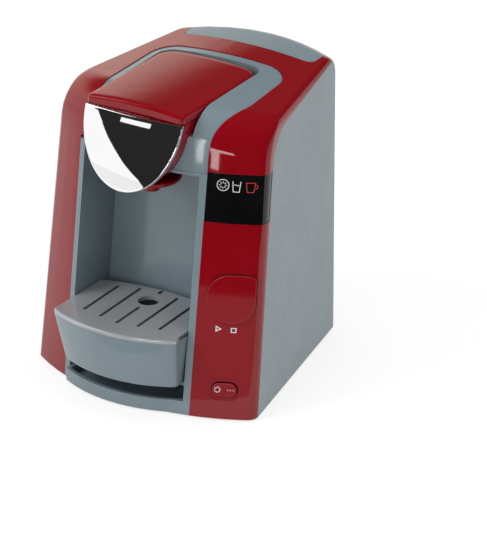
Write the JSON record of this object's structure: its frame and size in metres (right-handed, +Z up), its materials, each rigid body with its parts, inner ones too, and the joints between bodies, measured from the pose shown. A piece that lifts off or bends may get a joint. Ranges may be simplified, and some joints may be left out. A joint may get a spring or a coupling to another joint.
{
  "type": "toy coffee maker",
  "caption": "Free-standing toy capsule coffee maker with a hinged brewing-head lid, chrome shield, cup space, pull-out drip tray, start button, power rocker and lift-out rear water tank.",
  "frame": {"origin": "middle of the part's box in plan, on the surface that it stands on", "axes": "+X to the right of someone facing the machine, +Y to its back, +Z up"},
  "size_m": [0.2142, 0.2432, 0.2537],
  "materials": {
    "grey_plastic": "satin moulded plastic",
    "red_plastic": "high gloss moulded plastic",
    "chrome": "chrome-plated plastic, mirror bright",
    "black_window": "polished black window",
    "grate_grey": "silver-grey satin plastic",
    "tank_grey": "plain moulded plastic",
    "dark_plastic": "lightly textured dark plastic",
    "steel": "bare plated steel",
    "rubber": "matt rubber",
    "circuit_board": "lacquered laminate",
    "clear_led": "milky clear plastic",
    "battery_wrap": "plain printed wrap"
  },
  "bodies": {
    "housing": {"main_shell": "grey_plastic", "front_frame": "grey_plastic", "base_plate": "dark_plastic", "left_panel": "red_plastic", "control_panel": "red_plastic", "display_window": "black_window", "top_cover": "red_plastic", "head_surround": "grey_plastic", "brew_head": "red_plastic", "chrome_shield": "chrome", "spout": "red_plastic", "lid_hinge_pin": "steel", "button_spring": "steel", "circuit_board": "circuit_board", "start_switch": "dark_plastic", "power_switch": "dark_plastic", "display_leds": "clear_led", "battery_door": "dark_plastic", "door_screw": "steel", "battery_cells": "battery_wrap", "battery_contacts": "steel", "speaker": "dark_plastic", "rubber_feet": "rubber", "base_screws": "steel", "panel_screws": "steel"},
    "head_lid": {"head_lid": "red_plastic"},
    "start_button": {"start_button": "red_plastic"},
    "power_rocker": {"power_rocker": "red_plastic"},
    "drip_tray": {"drip_tray": "grey_plastic"},
    "drip_grate": {"drip_grate": "grate_grey"},
    "water_tank": {"water_tank": "tank_grey"},
    "tank_lid": {"tank_lid": "grey_plastic"}
  },
  "joints": [
    {"name": "lid_hinge", "type": "hinge", "parent": "housing", "child": "head_lid", "pos_m": [-0.00481, 0.03845, 0.2453], "axis": [-1, 0, 0], "range_deg": [0, 75]},
    {"name": "button_press", "type": "slide", "parent": "housing", "child": "start_button", "axis": [-0.3762, 0.9158, -0.1409], "range_m": [0, 0.0025], "stiffness_N_per_m": 250, "springref_m": -0.002, "deforming": ["button_spring"]},
    {"name": "rocker_tilt", "type": "hinge", "parent": "housing", "child": "power_rocker", "pos_m": [0.08193, -0.07639, 0.02566], "axis": [-0.0535, 0.1303, 0.99], "range_deg": [-6, 6]},
    {"name": "tray_slide", "type": "slide", "parent": "housing", "child": "drip_tray", "axis": [0, -1, 0], "range_m": [0, 0.085]},
    {"name": "grate_lift", "type": "slide", "parent": "drip_tray", "child": "drip_grate", "axis": [0, 0, 1], "range_m": [0, 0.03]},
    {"name": "tank_lift", "type": "slide", "parent": "housing", "child": "water_tank", "axis": [0, 0, 1], "range_m": [0, 0.12]},
    {"name": "tank_lid_lift", "type": "slide", "parent": "water_tank", "child": "tank_lid", "axis": [0, 0, 1], "range_m": [0, 0.03]}
  ]
}
